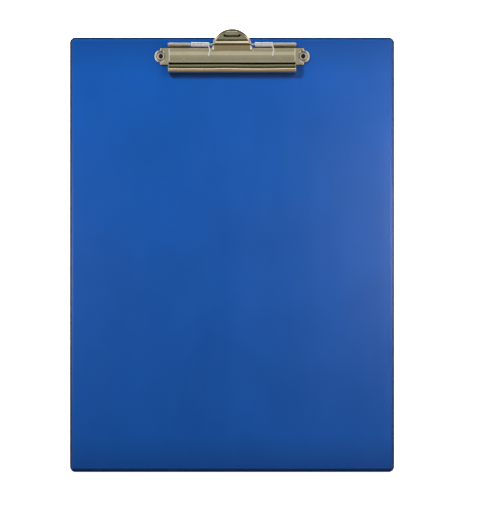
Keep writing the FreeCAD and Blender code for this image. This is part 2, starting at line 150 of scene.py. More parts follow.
class ClipSettings(bpy.types.PropertyGroup):
    """Sizes of the pressed steel parts."""

    sheet: length("Sheet", "Thickness of the steel", 0.6)
    edge: length("Edge", "Rounding of the pressings' cut edges", 0.18)
    nose_bend_in: length("Nose bend", "From the board's top edge to the crease before the nose", 18.0)
    nose_past: length("Nose overhang", "How far the nose stands out past either side flange", 0.2)
    lip_front_in: length("Lip front", "From the board's top edge to the front of the rolled lip", 25.8)
    lip_gap: length("Lip gap", "Between the lip and the board", 0.1)
    crease: length("Crease radius", "Bend between plate and nose", 2.0)
    crease_turn: angle("Crease turn", "How far the crease turns the sheet", 10.0)
    roll: length("Roll radius", "Bend of the rolled lip", 2.2)
    roll_end: angle("Roll end", "Where the rolled lip stops", 190.0)
    notch: length("Notch", "Gap between nose and side flange", 0.5)
    flange_round: length("Flange bend", "Bend of the side flange", 0.6)
    flange_depth: length("Flange depth", "How far the side flange reaches below the plate", 1.2)
    crown: length("Plate crown", "Bulge of the plate between its crease and the tab", 0.17)
    knuckle_width: length("Knuckle width", "Width of one jaw knuckle", 7.7)
    knuckle_in: length("Knuckle place", "From the jaw's end to its knuckle", 8.1)
    knuckle_foot: length("Knuckle foot", "Bend between plate and knuckle", 0.6)
    knuckle_curl: angle("Knuckle curl", "How far a knuckle goes round the rod", 305.0)
    running_gap: length("Running gap", "Between the rod and a knuckle", 0.05)
    rod: length("Rod radius", "Radius of the hinge rod", 0.8)
    back_gap: length("Back gap", "From the rod's axis to the bend of the plate's back edge", 2.55)
    back_round: length("Back bend", "Bend of the plate's back edge", 0.2)
    back_turn: angle("Back turn", "How far that edge turns down beside a spring", 45.0)
    corner_turn: angle("Corner turn", "How far that edge turns down outside a knuckle", 70.0)
    knuckle_dip: angle("Knuckle dip", "How far the plate turns down before a knuckle", 40.0)
    # The fold's dark line is painted shade in the crease before the hinge.
    fold_in: length("Fold place", "From the rod's axis to the dark line in the fold before it", 1.95)
    fold_half: length("Fold width", "Half the width of that line, its soft side included", 0.55)
    fold_fade: length("Fold fade", "Width of the line's soft sides and ends", 0.2)
    leg_hole: length("Leg hole", "Radius of the hole that a spring's leg passes through", 0.8)
    leg_reach: length("Leg reach", "From the rod's axis to a leg's hole", 8.35)
    pip: length("Pip radius", "Radius of a pressed pip", 0.6)
    pip_height: length("Pip height", "Height of a pressed pip", 0.13)
    pip_in: length("Pip place", "From the jaw's end to a pip", 11.2)
    pip_back: length("Pip back", "From the crease to a pip", 1.3)


class TabSettings(bpy.types.PropertyGroup):
    """Sizes of the thumb tab."""

    radius: length("Radius", "Outer radius of the tab's D", 14.7)
    foot_in: length("Foot", "From the board's top edge to the centre of the D", 8.5)
    start_in: length("Start", "From the board's top edge to where the tab leaves the plate", 9.6)
    slot: length("Slot", "Gap beside the tab's neck", 0.6)
    rod_gap: length("Rod gap", "Between the neck and the rod", 0.35)
    neck_round: length("Neck bend", "Bend where the neck rises", 2.0)
    past_rod: length("Past rod", "How far the neck runs on behind the rod", 0.12)
    riser_round: length("Riser bend", "Bend where the riser starts", 1.0)
    riser_turn: angle("Riser turn", "How far the riser turns up", 39.0)
    riser_run: length("Riser run", "Straight part of the riser", 1.88)
    pad_round: length("Pad bend", "Bend at the riser's top", 0.8)
    pad_turn: angle("Pad turn", "How far that bend turns back", -42.2)
    brow: length("Brow", "Straight part over the riser", 1.24)
    sweep_round: length("Sweep", "Gentle bend into the pad", 21.0)
    sweep_turn: angle("Sweep turn", "How far the gentle bend turns", -6.2)
    rim: length("Rim", "Width of the flared rim past its bend", 1.2)
    rim_round: length("Rim bend", "Bend between pad and rim", 0.8)
    rim_turn: angle("Rim turn", "Steepness of the rim over the pad", 27.0)
    dish_wide: length("Dish width", "Half the width of the dish for the thumb", 6.4)
    dish_high: length("Dish height", "Half the height of the dish", 2.1)
    dish_depth: length("Dish depth", "Depth of the dish", 0.085)
    dish_wall: FloatProperty(name="Dish wall", description="Share of the dish that is its wall", default=0.45)
    dish_in: length("Dish place", "From the tab's crown to the middle of the dish", 3.8)


class SpringSettings(bpy.types.PropertyGroup):
    """Sizes of the torsion springs and the eyelets."""

    wire: length("Wire", "Thickness of the spring wire", 0.9)
    coil: length("Coil radius", "Radius of the coil's centre line", 1.48)
    pitch: length("Pitch", "From one turn to the next", 0.93)
    hook: length("Hook radius", "Bend of the leg's hooked end", 0.95)
    tip: length("Tip", "Straight end of the hooked leg", 0.8)
    seat: length("Seat", "Between the leg and the plate under it", 0.05)
    leg_bow: length("Leg bow", "How far the upper leg bows sideways", 0.8)
    base_rise: length("Base rise", "Height of the lower leg's end over the board", 0.7)
    tray_half: length("Tray half", "Half the width of the base tray", 6.45)
    base_gap: length("Base gap", "Between the lower leg and the tray", 0.1)
    sides: IntProperty(name="Sides", description="Facets round the wire", default=18, min=8)
    bore: length("Bore", "Radius of an eyelet's bore", 1.6)
    wall: length("Wall", "Wall of an eyelet's tube", 0.25)
    flange: length("Flange", "Radius of an eyelet's flange", 2.85)
    flange_height: length("Flange height", "Height of the rolled flange", 0.55)
    roll: length("Roll", "Rounding of the rolled flange", 0.42)
    back_flange: length("Back flange", "Radius of the flange let into the back", 2.9)
    back_edge: length("Back edge", "Bevel of the back flange", 0.16)


class StageSettings(bpy.types.PropertyGroup):
    """Camera and floor."""

    camera_height: FloatProperty(
        name="Camera height", description="Distance of the camera", default=9.0, unit="LENGTH"
    )
    sensor: FloatProperty(name="Sensor", description="Height of the camera's sensor in mm", default=24.0)
    floor_size: FloatProperty(name="Floor", description="Side of the floor", default=12.0, unit="LENGTH")
    floor_drop: length("Floor drop", "How far the floor lies below the board", 0.2)
    floor_colour: colour("Floor colour", "Colour of the floor", (0.86, 0.86, 0.86))
    # The floor under the board is painted dark as shade, fading in between the cover edge and the cover.
    shaded_floor_under_board: colour("Covered floor", "Colour of the floor under the board", (0.16, 0.16, 0.17))
    cover_in: length("Cover", "How far in from the board's edge the covered floor has its full colour", 6.0)
    cover_out: length("Cover edge", "How far in from the board's edge the covered floor starts", 3.0)
    floor_glow: FloatProperty(
        name="Floor glow", description="White that the floor adds where the camera sees it", default=1.0
    )


def settings(name):
    """The group of settings of that name in the scene."""
    return getattr(bpy.context.scene, "clipboard_" + name)


def smoothstep(t):
    """3 t squared less 2 t cubed: from 0 to 1 with a soft start and a soft end."""
    return t * t * (3 - 2 * t)


def grid_faces(rows, columns, wrap_rows=False, wrap_columns=False):
    """Quads of a grid of points, row by row, as an array of point numbers."""
    i = np.arange(rows if wrap_rows else rows - 1)
    j = np.arange(columns if wrap_columns else columns - 1)
    i, j = np.meshgrid(i, j, indexing="ij")
    i2, j2 = (i + 1) % rows, (j + 1) % columns
    quads = np.stack([i * columns + j, i2 * columns + j, i2 * columns + j2, i * columns + j2], axis=-1)
    return quads.reshape(-1, 4)


class Shell:
    """Collects points and faces of one piece, and makes its mesh."""

    def __init__(self):
        self.points = []
        self.faces = []
        self.count = 0

    def add(self, points, faces=()):
        """Adds points, and faces that number them from 0; returns the first point's number."""
        first = self.count
        points = np.asarray(points, float).reshape(-1, 3)
        if len(faces):
            self.faces += (faces + first).tolist()
        self.points.append(points)
        self.count += len(points)
        return first

    def polygon(self, numbers):
        self.faces.append([int(n) for n in numbers])

    def piece(self, name, material, merge=0.0):
        """The object, with points closer than merge joined and faces turned outwards."""
        mesh = bpy.data.meshes.new(name)
        mesh.from_pydata(np.concatenate(self.points).tolist(), [], self.faces)
        tidy_mesh(mesh, merge)
        mesh.materials.append(material)
        obj = bpy.data.objects.new(name, mesh)
        bpy.context.scene.collection.objects.link(obj)
        return obj


def tidy_mesh(mesh, merge):
    """Joins points closer than merge, drops loose ones, turns faces outwards and shades smooth."""
    work = bmesh.new()
    work.from_mesh(mesh)
    if merge:
        bmesh.ops.remove_doubles(work, verts=work.verts, dist=merge)
        bmesh.ops.dissolve_degenerate(work, edges=work.edges, dist=merge)
    loose = [point for point in work.verts if not point.link_faces]
    bmesh.ops.delete(work, geom=loose, context="VERTS")
    bmesh.ops.recalc_face_normals(work, faces=work.faces)
    work.to_mesh(mesh)
    work.free()
    mesh.shade_smooth()
    mesh.update()


def smooth_by_angle(obj, degrees):
    """Edges sharper than the angle stay sharp; all others are shaded smooth."""
    obj.data.shade_smooth()
    obj.data.set_sharp_from_angle(angle=math.radians(degrees))


def walk(start, heading, moves, step):
    """The points and headings of a bent sheet's middle line.

    A point walks from start. ("run", length) goes straight on; ("bend", radius, turn) follows a
    circle, a turn to the left being positive. Each stretch is divided evenly, about a step apart.
    """
    u, v = start
    us, vs, headings = [np.array([u])], [np.array([v])], [np.array([heading])]
    for move in moves:
        if move[0] == "run":
            n = max(1, math.ceil(move[1] / step))
            t = np.arange(1, n + 1) / n * move[1]
            us.append(u + t * math.cos(heading))
            vs.append(v + t * math.sin(heading))
            headings.append(np.full(n, heading))
        else:
            radius, turn = move[1:]
            hand = math.copysign(1, turn)
            n = max(3, math.ceil(abs(turn) * max(radius, step) / step), math.ceil(abs(turn) / BEND_STEP))
            a = heading + np.arange(1, n + 1) / n * turn
            us.append(u + hand * radius * (np.sin(a) - math.sin(heading)))
            vs.append(v - hand * radius * (np.cos(a) - math.cos(heading)))
            headings.append(a)
            heading += turn
        u, v = us[-1][-1], vs[-1][-1]
    return np.concatenate(us), np.concatenate(vs), np.concatenate(headings)


def even_lines(stops, step):
    """Grid lines through every stop, with even lines about a step apart between them."""
    stops = sorted(set(round(s, 9) for s in stops))
    lines = [np.array(stops[:1])]
    for a, b in zip(stops, stops[1:]):
        n = max(1, math.ceil((b - a - NEAR) / step))
        lines.append(a + (b - a) * np.arange(1, n + 1) / n)
    return np.concatenate(lines)


def rounded_outline(cuts_y):
    """Points round the board as (side or corner signs, direction, fixed y), run round from +X.

    A corner's points fan out from its centre. A side's points, one at each of cuts_y, keep their y.
    """
    signs, outward, fixed_y = [], [], []
    for k, (sx, sy) in enumerate(((1, 1), (-1, 1), (-1, -1), (1, -1))):
        a = math.pi / 2 * (k + np.linspace(0, 1, CORNER_STEPS + 1))
        outward.append(np.stack([np.cos(a), np.sin(a)], axis=-1))
        signs.append(np.tile([sx, sy], (len(a), 1)))
        fixed_y.append(np.full(len(a), np.nan))
        if sx != sy:
            cuts = sorted(cuts_y, reverse=sx < 0)
            outward.append(np.tile([sx, 0.0], (len(cuts), 1)))
            signs.append(np.tile([sx, 0], (len(cuts), 1)))
            fixed_y.append(np.array(cuts))
    return np.concatenate(signs), np.concatenate(outward), np.concatenate(fixed_y)


def inset_ring(film, signs, outward, fixed_y, inset):
    """The outline drawn in by each inset: its corners tighten as far as their least radius."""
    radius = np.maximum(film.corner - inset, film.least_corner)
    half = np.array([BOARD_HIGH.x, BOARD_HIGH.y])
    centre = signs[:, None, :] * (half - inset[:, None] - radius[:, None])
    ring = centre + outward[:, None, :] * radius[:, None]
    ring[:, :, 1] = np.where(np.isnan(fixed_y)[:, None], ring[:, :, 1], fixed_y[:, None])
    return ring


def film_profile(film):
    """The film's section as (inset from the edge, height over the joint plane), outside then inside.

    Flat rim, foot arc, slope, crown arc, then a face that rises softly (smoothstep) to its level.
    The inside is the same line one film's thickness lower. The outer edge is rounded by an arc.
    """
    half = film.thickness / 2
    rise = BOARD_TOP / 2 - film.thickness
    bends = (film.crown + film.foot) * (1 - math.cos(film.slope))
    slope_run = (rise - bends) / math.sin(film.slope)
    inward = (film.crown + film.foot) * math.sin(film.slope) + slope_run * math.cos(film.slope)
    moves = [
        ("run", film.rim_to_core - inward),
        ("bend", film.foot, film.slope),
        ("run", slope_run),
        ("bend", film.crown, -film.slope),
    ]
    u, v, heading = walk((0, half), 0, moves, half)
    line = np.stack([u, v], axis=-1)
    across = half * np.stack([-np.sin(heading), np.cos(heading)], axis=-1)
    outer, inner = line + across, line - across
    outer[0, 0] = film.edge_round
    turn = np.linspace(math.pi / 2, 0, 4)[:-1]
    edge = np.stack([
        film.edge_round * (1 - np.sin(turn)), film.thickness - film.edge_round * (1 - np.cos(turn))
    ], axis=-1)
    t = np.linspace(0, 1, 9)[1:]
    face = np.stack([film.rim_to_core + t * film.soft_reach, np.full(len(t), outer[-1, 1])], axis=-1)
    drop = film.soft_drop * np.concatenate([np.ones(len(outer)), 1 - smoothstep(t)])
    outer = np.concatenate([outer, face])
    outer[:, 1] -= drop * (outer[:, 1] - film.thickness) / rise
    inner = np.concatenate([inner[1:], [[film.rim_to_core + film.soft_reach, inner[-1, 1]]]])
    return np.concatenate([np.zeros((1, 2)), edge, outer]), inner[::-1]


def film_face(shell, rows, columns, column, level, ends, hole_radius):
    """Closes a film's flat face by two plain polygons that meet along the line through both holes.

    The face's border is one column of the section's grid. Returns each hole's first point.
    """
    turn = np.linspace(0, 2 * math.pi, HOLE_POINTS, endpoint=False)
    holes = []
    for x in (EYELET_X, -EYELET_X):
        circle = [x + hole_radius * np.cos(turn), CLIP_Y + hole_radius * np.sin(turn), 0 * turn + level]
        holes.append(shell.add(np.stack(circle, axis=-1)))
    half = HOLE_POINTS // 2
    upper = np.arange(half, -1, -1)
    lower = np.arange(HOLE_POINTS, half - 1, -1) % HOLE_POINTS
    right, left = ends
    for start, end, arc, order in ((right, left, upper, holes[::-1]), (left, right, lower, holes)):
        border = (start + np.arange((end - start) % rows + 1)) % rows * columns + column
        shell.polygon([*border, *(order[0] + arc), *(order[1] + arc)])
    return holes


def mark_film(obj, film):
    """Marks the darker welded rim with its slope, by height, and the outermost line, by its place in the
    outline; the slope's mark and the outermost line carry painted shade.
    """
    co = np.zeros(len(obj.data.vertices) * 3, np.float32)
    obj.data.vertices.foreach_get("co", co)
    co = co.reshape(-1, 3)
    level = BOARD_TOP / 2 + np.abs(co[:, 2] - BOARD_TOP / 2)
    past = np.abs(co[:, :2]) - (np.array([BOARD_HIGH.x, BOARD_HIGH.y]) - film.corner)
    inset = film.corner - np.hypot(*np.maximum(past, 0).T) - np.minimum(past.max(axis=1), 0)
    for name, share in (
        ("weld", (BOARD_TOP - film.weld_shade_level - level) / film.weld_shade_fade),
        ("cut", (film.cut_width - inset) / film.cut_fade),
    ):
        mark = obj.data.attributes.new(name, "FLOAT", "POINT")
        mark.data.foreach_set("value", np.clip(share, 0, 1).astype(np.float32))


def film_piece(name, side, hole_radius, material):
    """A film: its section carried round the outline as a ring, and two flat faces with holes."""
    film = settings("film")
    outline = rounded_outline((-BOARD_HIGH.y / 2, 0.0, CLIP_Y))
    outer, inner = film_profile(film)
    profile = np.concatenate([outer, inner])
    ring = inset_ring(film, *outline, profile[:, 0])
    z = np.broadcast_to(BOARD_TOP / 2 + side * profile[:, 1], ring.shape[:2])
    points = np.concatenate([ring, z[:, :, None]], axis=-1)
    rows, columns = points.shape[:2]
    faces = grid_faces(rows, columns, wrap_rows=True, wrap_columns=True)
    top_edge, low_edge = len(outer) - 1, len(outer)
    shell = Shell()
    shell.add(points, faces[faces[:, 0] % columns != top_edge])
    ends = np.flatnonzero(outline[2] == CLIP_Y)[[-1, 0]]
    top_holes, low_holes = [
        film_face(shell, rows, columns, column, points[0, column, 2], ends, hole_radius)
        for column in (top_edge, low_edge)
    ]
    for top, low in zip(top_holes, low_holes):
        for i in range(HOLE_POINTS):
            j = (i + 1) % HOLE_POINTS
            shell.polygon([top + i, low + i, low + j, top + j])
    obj = shell.piece(name, material)
    mark_film(obj, film)
    smooth_by_angle(obj, 35.0)
    return obj


def node_tree(name):
    material = bpy.data.materials.new(name)
    material.use_nodes = True
    tree = material.node_tree
    return material, tree, tree.nodes["Principled BSDF"]


def add_node(tree, kind, **values):
    node = tree.nodes.new(kind)
    for key, value in values.items():
        setattr(node, key, value)
    return node


def feed(tree, socket, value):
    """Links another node's socket to this one, or sets it to a number or a colour."""
    if isinstance(value, bpy.types.NodeSocket):
        tree.links.new(value, socket)
    else:
        socket.default_value = value if isinstance(value, (int, float)) else (*value, 1.0)


def maths(tree, operation, *values):
    """The result of a sum; each value is a number or a socket."""
    node = add_node(tree, "ShaderNodeMath", operation=operation)
    for socket, value in zip(node.inputs, values):
        feed(tree, socket, value)
    return node.outputs["Value"]


def mixed(tree, share, first, second):
    """Mixes two colours; each is a colour or a socket."""
    node = add_node(tree, "ShaderNodeMix", data_type="RGBA")
    for socket, value in ((0, share), (6, first), (7, second)):
        feed(tree, node.inputs[socket], value)
    return node.outputs[2]


def ranged(tree, value, low, high, to_low, to_high):
    """The value's range from low to high, clamped, carried to another range."""
    node = add_node(tree, "ShaderNodeMapRange")
    names = ("Value", "From Min", "From Max", "To Min", "To Max")
    for socket, number in zip(names, (value, low, high, to_low, to_high)):
        feed(tree, node.inputs[socket], number)
    return node.outputs["Result"]


def coordinates(tree, kind="Object"):
    """The X, Y and Z sockets of a point's own place, or of a direction in the sky."""
    place = add_node(tree, "ShaderNodeTexCoord")
    split = add_node(tree, "ShaderNodeSeparateXYZ")
    tree.links.new(place.outputs[kind], split.inputs["Vector"])
    return split.outputs["X"], split.outputs["Y"], split.outputs["Z"]


def object_noise(tree, scale, detail=2.0, stretch=(1, 1, 1), rough=0.5):
    """Noise on the object's own coordinates, in a cell about 1/scale metres wide."""
    place = add_node(tree, "ShaderNodeTexCoord")
    mapping = add_node(tree, "ShaderNodeMapping")
    mapping.inputs["Scale"].default_value = stretch
    tree.links.new(place.outputs["Object"], mapping.inputs["Vector"])
    noise = add_node(tree, "ShaderNodeTexNoise")
    noise.inputs["Scale"].default_value = scale
    noise.inputs["Detail"].default_value = detail
    noise.inputs["Roughness"].default_value = rough
    tree.links.new(mapping.outputs["Vector"], noise.inputs["Vector"])
    return noise.outputs["Fac"]


def bumped(tree, layers):
    """Chained bumps; each layer is (height socket, depth in metres)."""
    normal = None
    for height, depth in layers:
        bump = add_node(tree, "ShaderNodeBump")
        bump.inputs["Strength"].default_value = 1.0
        bump.inputs["Distance"].default_value = depth
        tree.links.new(height, bump.inputs["Height"])
        if normal:
            tree.links.new(normal, bump.inputs["Normal"])
        normal = bump.outputs["Normal"]
    return normal


def pvc_material(name):
    """Satin PVC film: fine grain, slow unevenness and faint rubs; painted shade darkens it towards the ends,
    the welded rim is darker, with painted shade on the slope beside it, and the outermost line is the pressed
    cut edge darkened by painted shade.
    """
    film = settings("film")
    material, tree, shader = node_tree(name)
    slow = object_noise(tree, 18.0, 3.0)
    rubs = object_noise(tree, 140.0, 4.0, (1.0, 0.18, 1.0), 0.6)
    grain = object_noise(tree, 2600.0)
    wave = object_noise(tree, 30.0, 1.0)
    paler = [c * 1.12 for c in film.blue]
    tint = mixed(tree, ranged(tree, slow, 0.35, 0.65, 0.0, 1.0), film.blue, paler)
    # Painted shade: the film is drawn darker towards the board's two ends, where less light falls.
    along = maths(tree, "ABSOLUTE", coordinates(tree)[1])
    end = ranged(tree, along, BOARD_HIGH.y - film.end_shade_reach, BOARD_HIGH.y, 0.0, 1.0)
    tint = mixed(tree, end, tint, film.end)
    # The welded rim's darker tone, painted as shade up the slope beside it, then the outermost line: the
    # pressed cut edge, darkened by painted shade.
    for mark in ("weld", "cut"):
        share = add_node(tree, "ShaderNodeAttribute", attribute_name=mark)
        tint = mixed(tree, share.outputs["Fac"], tint, getattr(film, mark))
    tree.links.new(tint, shader.inputs["Base Color"])
    tree.links.new(ranged(tree, rubs, 0.3, 0.75, 0.33, 0.42), shader.inputs["Roughness"])
    shader.inputs["Specular IOR Level"].default_value = 0.2
    tree.links.new(bumped(tree, [(wave, 0.12 * MM), (grain, 0.008 * MM)]), shader.inputs["Normal"])
    return material


def greyboard_material(name):
    """Greyboard: pressed waste paper, with fibres and flecks."""
    material, tree, shader = node_tree(name)
    flecks = object_noise(tree, 900.0, 4.0, (1.0, 1.0, 3.0), 0.65)
    layers = object_noise(tree, 700.0, 3.0, (0.15, 0.15, 6.0))
    tint = mixed(tree, ranged(tree, flecks, 0.35, 0.7, 0.0, 1.0), (0.33, 0.31, 0.27), (0.47, 0.44, 0.39))
    tree.links.new(tint, shader.inputs["Base Color"])
    shader.inputs["Roughness"].default_value = 0.92
    tree.links.new(bumped(tree, [(layers, 0.06 * MM), (flecks, 0.03 * MM)]), shader.inputs["Normal"])
    return material


# Each metal: two tints, least and most roughness, scale of its rolling lines along X, depth of its waves
METALS = {
    "nickel_pressing": ((0.62, 0.55, 0.40), (0.67, 0.595, 0.445), 0.045, 0.1, 0.06, 0.05 * MM),
    "bright_rod": ((0.58, 0.56, 0.52), (0.64, 0.62, 0.57), 0.12, 0.22, 0.05, 0.01 * MM),
    "spring_wire": ((0.87, 0.73, 0.50), (0.95, 0.81, 0.58), 0.16, 0.28, 1.0, 0.01 * MM),
    "nickel_eyelet": ((0.64, 0.61, 0.54), (0.70, 0.67, 0.60), 0.12, 0.22, 1.0, 0.01 * MM),
}
ROLLING_DEPTH = 0.0025 * MM
BOW_TO_WAVE = 12
# Painted shade: the dark colour drawn along the fold before the hinge.
FOLD_SHADE = (0.10, 0.08, 0.05)


def metal_material(name):
    """Plated steel: a slow tint change, rolling lines along X, faint handling marks, waves and a bow."""
    first, second, smoothest, roughest, rolling_x, wave_depth = METALS[name]
    material, tree, shader = node_tree(name)
    slow = object_noise(tree, 60.0, 3.0)
    rolling = object_noise(tree, 900.0, 3.0, (rolling_x, 1.0, 1.0), 0.55)
    marks = object_noise(tree, 420.0, 5.0, (0.35, 1.0, 1.0), 0.7)
    wave = object_noise(tree, 70.0, 1.0)
    bow = object_noise(tree, 22.0, 1.0)
    tint = mixed(tree, ranged(tree, slow, 0.35, 0.65, 0.0, 1.0), first, second)
    tree.links.new(tint, shader.inputs["Base Color"])
    tree.links.new(ranged(tree, marks, 0.3, 0.8, smoothest, roughest), shader.inputs["Roughness"])
    shader.inputs["Metallic"].default_value = 1.0
    normal = bumped(tree, [(bow, BOW_TO_WAVE * wave_depth), (wave, wave_depth), (rolling, ROLLING_DEPTH)])
    tree.links.new(normal, shader.inputs["Normal"])
    return material


def pressing_material(name):
    """Plated sheet with painted shade along the fold before the hinge, where the plate dips beside the
    knuckles and springs, but not at the tab's neck.
    """
    clip, tab = settings("clip"), settings("tab")
    material = metal_material(name)
    tree = material.node_tree
    x, y, _ = coordinates(tree)
    off = maths(tree, "ABSOLUTE", maths(tree, "ADD", y, clip.fold_in - HINGE.y))
    line = ranged(tree, off, clip.fold_half - clip.fold_fade, clip.fold_half, 1.0, 0.0)
    neck = tab.radius + tab.slot
    beside = ranged(tree, maths(tree, "ABSOLUTE", x), neck, neck + clip.fold_fade, 0.0, 1.0)
    base = tree.nodes["Principled BSDF"].inputs["Base Color"]
    unshaded = base.links[0].from_socket
    # Painted shade along the fold, kept off the tab's neck.
    tree.links.new(mixed(tree, maths(tree, "MULTIPLY", line, beside), unshaded, FOLD_SHADE), base)
    return material


def finish_for(name):
    """A material by its name, made where it is first needed."""
    makers = {
        "blue_pvc_film": pvc_material,
        "greyboard_core": greyboard_material,
        "nickel_pressing": pressing_material,
    }
    return bpy.data.materials.get(name) or makers.get(name, metal_material)(name)


def dressed(obj, body, slot, *nodes):
    """Rides on a body and hides the CAD nodes it stands for; the slot is not used."""
    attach(obj, body)
    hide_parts(*nodes)


class CLIPBOARD_OT_films(bpy.types.Operator):
    """Make both PVC films and dress the greyboard core"""

    bl_idname = "clipboard.films"
    bl_label = "Films and board"

    def execute(self, context):
        film = settings("film")
        front = film_piece("front_film_skin", 1, film.tube_hole, finish_for("blue_pvc_film"))
        back = film_piece("back_film_skin", -1, film.flange_hole, finish_for("blue_pvc_film"))
        dressed(front, "board", "pvc_film", "front_film")
        dressed(back, "board", "pvc_film", "back_film")
        core = frame["nodes"]["core_board"]
        core.data.materials.clear()
        core.data.materials.append(finish_for("greyboard_core"))
        return {"FINISHED"}


def nose_line(clip):
    """The nose's middle line: crease, one long gentle arc, rolled lip, as (y, z) and headings.

    The long arc is the one circle that leaves the crease and reaches the roll with no corner.
    """
    bend_y = BOARD_HIGH.y - clip.nose_bend_in
    reach = clip.roll + clip.sheet / 2
    roll_y = BOARD_HIGH.y - clip.lip_front_in + reach
    roll_z = BOARD_TOP + clip.lip_gap + reach
    crease_y = bend_y - clip.crease * math.sin(clip.crease_turn)
    crease_z = HINGE.z - clip.crease * (1 - math.cos(clip.crease_turn))
    dy = roll_y - crease_y - clip.roll * math.sin(clip.crease_turn)
    dz = roll_z - crease_z + clip.roll * math.cos(clip.crease_turn)
    sweep = 2 * (math.atan2(-dz, -dy) - clip.crease_turn)
    long_r = clip.roll + math.hypot(dy, dz) / (2 * math.sin(sweep / 2))
    moves = [
        ("bend", clip.crease, clip.crease_turn),
        ("bend", long_r, sweep),
        ("bend", clip.roll, clip.roll_end - clip.crease_turn - sweep),
    ]
    return walk((bend_y, HINGE.z), math.pi, moves, clip.sheet)


def tab_line(clip, tab):
    """The tab's middle line from where it leaves the plate: neck over the rod, riser, pad."""
    keep = clip.rod + tab.rod_gap + clip.sheet / 2
    start_y = BOARD_HIGH.y - tab.start_in
    along = HINGE.y - start_y
    size = math.hypot(along, tab.neck_round)
    slope = math.asin((tab.neck_round + keep) / size) - math.atan2(tab.neck_round, along)
    neck = along * math.cos(slope) - tab.neck_round * math.sin(slope) + tab.past_rod
    moves = [
        ("bend", tab.neck_round, slope),
        ("run", neck),
        ("bend", tab.riser_round, tab.riser_turn),
        ("run", tab.riser_run),
        ("bend", tab.pad_round, tab.pad_turn),
        ("run", tab.brow),
        ("bend", tab.sweep_round, tab.sweep_turn),
        ("run", 2 * tab.radius),
    ]
    return walk((start_y, HINGE.z), 0.0, moves, clip.sheet / 2)


def knuckle_line(clip):
    """A knuckle's middle line: down from the plate, back up from its foot, and round the rod."""
    middle_r = clip.rod + clip.running_gap + clip.sheet / 2
    dip, foot = clip.knuckle_dip, clip.knuckle_foot
    drop = clip.back_round * (1 - math.cos(dip))
    up = math.acos((foot * math.cos(dip) - drop) / (middle_r + foot))
    start_y = HINGE.y - (middle_r + foot) * math.sin(up) - (clip.back_round + foot) * math.sin(dip)
    moves = [
        ("bend", clip.back_round, -dip),
        ("bend", foot, dip + up),
        ("bend", middle_r, -clip.knuckle_curl),
    ]
    return walk((start_y, HINGE.z), 0.0, moves, clip.sheet / 2)


def plate_heights(clip, ys):
    """Heights of the plate's middle: flat, with a bulge (sine squared) from the crease to the tab."""
    bend_y = BOARD_HIGH.y - clip.nose_bend_in
    start_y = BOARD_HIGH.y - settings("tab").start_in
    t = np.clip((ys - bend_y) / (start_y - bend_y), 0, 1)
    return HINGE.z + clip.crown * np.sin(math.pi * t) ** 2


def sheet_across(shell, xs, ys, zs, keep=None):
    """Adds the sheet whose middle line (ys, zs) is carried along the lines xs; zs may vary with x."""
    zs = zs if zs.ndim == 2 else zs[:, None]
    points = np.stack(np.broadcast_arrays(xs[None, :], ys[:, None], zs), axis=-1)
    faces = grid_faces(*points.shape[:2])
    if keep is not None:
        middle = points.reshape(-1, 3)[faces].mean(axis=1)
        faces = faces[keep(middle[:, 0], middle[:, 1])]
    shell.add(points, faces)


def tab_surface(shell, clip, tab):
    """The D-shaped tab: rings from its middle to its outline, lifted onto its section.

    In plan a point is (ring radius, place round the D). Its height follows the section at its y,
    and the rim and the dish stand off it along the section's own normal. The rim is a bend and a
    straight flare outside the last flat ring, and grows (smoothstep) over twice the tab's slot.
    The dish is a slot with round ends, whose wall falls as a smoothstep. Returns the rings' radii.
    """
    y, z, heading = tab_line(clip, tab)
    start_y, foot_y = y[0], BOARD_HIGH.y - tab.foot_in
    wall_r = tab.radius - clip.sheet / 2 * math.sin(tab.rim_turn)
    band_r = wall_r - tab.rim * math.cos(tab.rim_turn)
    flat_r = band_r - tab.rim_round * math.sin(tab.rim_turn)
    flat = even_lines([0.0, flat_r], RING_STEP)
    bend = np.linspace(0, tab.rim_turn, 5)[1:]
    band = np.linspace(0, 1, 5)[1:]
    radius = np.concatenate([
        flat, flat_r + tab.rim_round * np.sin(bend), band_r + band * (wall_r - band_r)
    ])
    bend_lift = tab.rim_round * (1 - np.cos(bend))
    lift = np.concatenate([0 * flat, bend_lift, bend_lift[-1] + band * tab.rim * math.sin(tab.rim_turn)])
    # Lines round the D follow the section's points, but not near its crown, where they would crowd.
    side = np.append(y[y < foot_y - 10 * NEAR], foot_y)
    crown_y = foot_y + 0.9 * wall_r
    rise = (y[(y > foot_y + 10 * NEAR) & (y < crown_y)] - foot_y) / wall_r
    quadrant = even_lines([*np.arcsin(rise), math.pi / 2], TAB_STEP)
    arc = np.concatenate([math.pi - quadrant, quadrant[-2::-1]])
    plan_x = np.concatenate([0 * side - 1, np.cos(arc), 0 * side + 1])
    plan_y = np.concatenate([side, 0 * arc + foot_y, side[::-1]])
    spread = np.concatenate([0 * side, np.sin(arc), 0 * side])
    x = radius[:, None] * plan_x
    py = plan_y + radius[:, None] * spread
    up = lift[:, None] * smoothstep(np.clip((py - start_y) / (2 * tab.slot), 0, 1))
    a = np.interp(py, y, heading)
    dish_y = foot_y + tab.radius - tab.dish_in
    past = np.maximum(np.abs(x) - (tab.dish_wide - tab.dish_high), 0)
    off = np.hypot(past, (py - dish_y) / np.cos(a)) / tab.dish_high
    up = up - tab.dish_depth * smoothstep(np.clip((1 - off) / tab.dish_wall, 0, 1))
    points = np.stack([x, py - up * np.sin(a), np.interp(py, y, z) + up * np.cos(a)], axis=-1)
    shell.add(points, grid_faces(*points.shape[:2]))
    return radius


